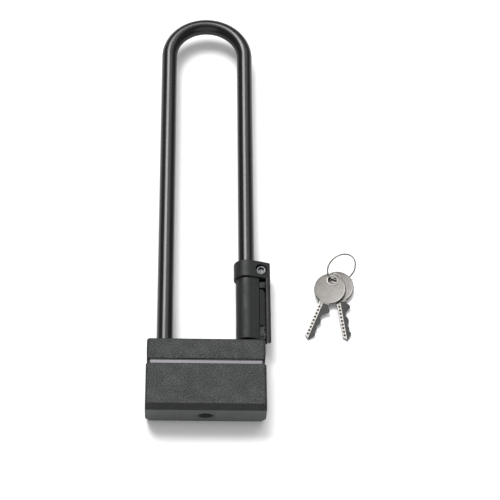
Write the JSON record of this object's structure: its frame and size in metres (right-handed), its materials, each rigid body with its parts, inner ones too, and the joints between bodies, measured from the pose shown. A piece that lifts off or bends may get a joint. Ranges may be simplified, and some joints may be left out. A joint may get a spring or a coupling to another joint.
{
  "type": "bicycle u lock",
  "caption": "Long coated shackle in a block body with rack-driven bolts, a clamp-on carrier bracket with a latch, and two flat keys on a wire ring.",
  "frame": {"origin": "middle of the body's back face, which lies on the surface that the lock rests on", "axes": "+X to the right across the body, +Y up the shackle away from the keyhole, +Z out of the front face"},
  "size_m": [0.1818, 0.4064, 0.033],
  "materials": {
    "cover_plastic": "charcoal moulded plastic with a fine spark-eroded grain",
    "bracket_plastic": "dark moulded nylon, fine satin texture",
    "vinyl": "glossy black vinyl sleeve",
    "hard_steel": "hardened steel, ground and lightly oiled",
    "black_steel": "blackened steel fastener, worn at its edges",
    "silver_trim": "satin silver strip",
    "nickel": "warm nickel plate, stamped and brushed",
    "brass": "machined brass",
    "rubber": "soft black rubber"
  },
  "bodies": {
    "lock_body": {"main_cover": "cover_plastic", "top_cover": "cover_plastic", "trim_strip": "silver_trim", "steel_case": "hard_steel", "mechanism_plate": "hard_steel", "leg_seal_left": "rubber", "leg_seal_right": "rubber", "keyhole_bezel": "bracket_plastic", "cover_screw_1": "black_steel", "cover_screw_2": "black_steel", "cover_screw_3": "black_steel", "cover_screw_4": "black_steel", "channel_plug_left": "hard_steel", "channel_plug_right": "hard_steel", "cylinder_shell": "brass", "cylinder_pin": "hard_steel"},
    "cylinder": {"cylinder_plug": "brass", "wafer_1": "brass", "wafer_2": "brass", "wafer_3": "brass", "wafer_4": "brass", "wafer_5": "brass", "drive_pinion": "hard_steel", "pinion_clip": "hard_steel"},
    "left_bolt": {"bolt_left": "hard_steel"},
    "right_bolt": {"bolt_right": "hard_steel"},
    "shackle": {"shackle_bar": "hard_steel", "shackle_sleeve": "vinyl", "bracket_body": "bracket_plastic", "bracket_liner": "rubber", "clamp_screw": "black_steel", "clamp_nut": "black_steel", "slide_catch": "bracket_plastic", "latch_pin": "black_steel", "latch_spring": "hard_steel"},
    "latch": {"latch_lever": "bracket_plastic"},
    "ring": {"key_ring": "nickel"},
    "first_key": {"key_1": "nickel"},
    "second_key": {"key_2": "nickel"}
  },
  "joints": [
    {"name": "shackle_pull", "type": "slide", "parent": "lock_body", "child": "shackle", "axis": [0, 1, 0], "range_m": [0, 0.062]},
    {"name": "plug_turn", "type": "hinge", "parent": "lock_body", "child": "cylinder", "pos_m": [0, 0, 0.0165], "axis": [0, 1, 0], "range_deg": [0, 90]},
    {"name": "right_bolt_slide", "type": "slide", "parent": "lock_body", "child": "right_bolt", "axis": [1, 0, 0], "range_m": [0, 0.0063]},
    {"name": "left_bolt_slide", "type": "slide", "parent": "lock_body", "child": "left_bolt", "axis": [-1, 0, 0], "range_m": [0, 0.0063]},
    {"name": "latch_press", "type": "hinge", "parent": "shackle", "child": "latch", "pos_m": [0.04765, 0.0432, 0.017], "axis": [-1, 0, 0], "range_deg": [0, 4.5], "stiffness_Nm_per_rad": 0.25, "deforming": ["latch_spring"]},
    {"name": "keys_lift", "type": "slide", "parent": "lock_body", "child": "ring", "axis": [0, 0, 1], "range_m": [0, 0.1]},
    {"name": "key_1_swing", "type": "hinge", "parent": "ring", "child": "first_key", "pos_m": [0.1106, 0.1024, 0.00545], "axis": [0, 0, 1], "range_deg": [-24, 4]},
    {"name": "key_2_swing", "type": "hinge", "parent": "ring", "child": "second_key", "pos_m": [0.1136, 0.1058, 0.00295], "axis": [0, 0, 1], "range_deg": [-4, 6]}
  ],
  "couplings": [
    {"joint": "right_bolt_slide", "follows": "plug_turn", "m_per_rad": 0.004},
    {"joint": "left_bolt_slide", "follows": "plug_turn", "m_per_rad": 0.004}
  ]
}
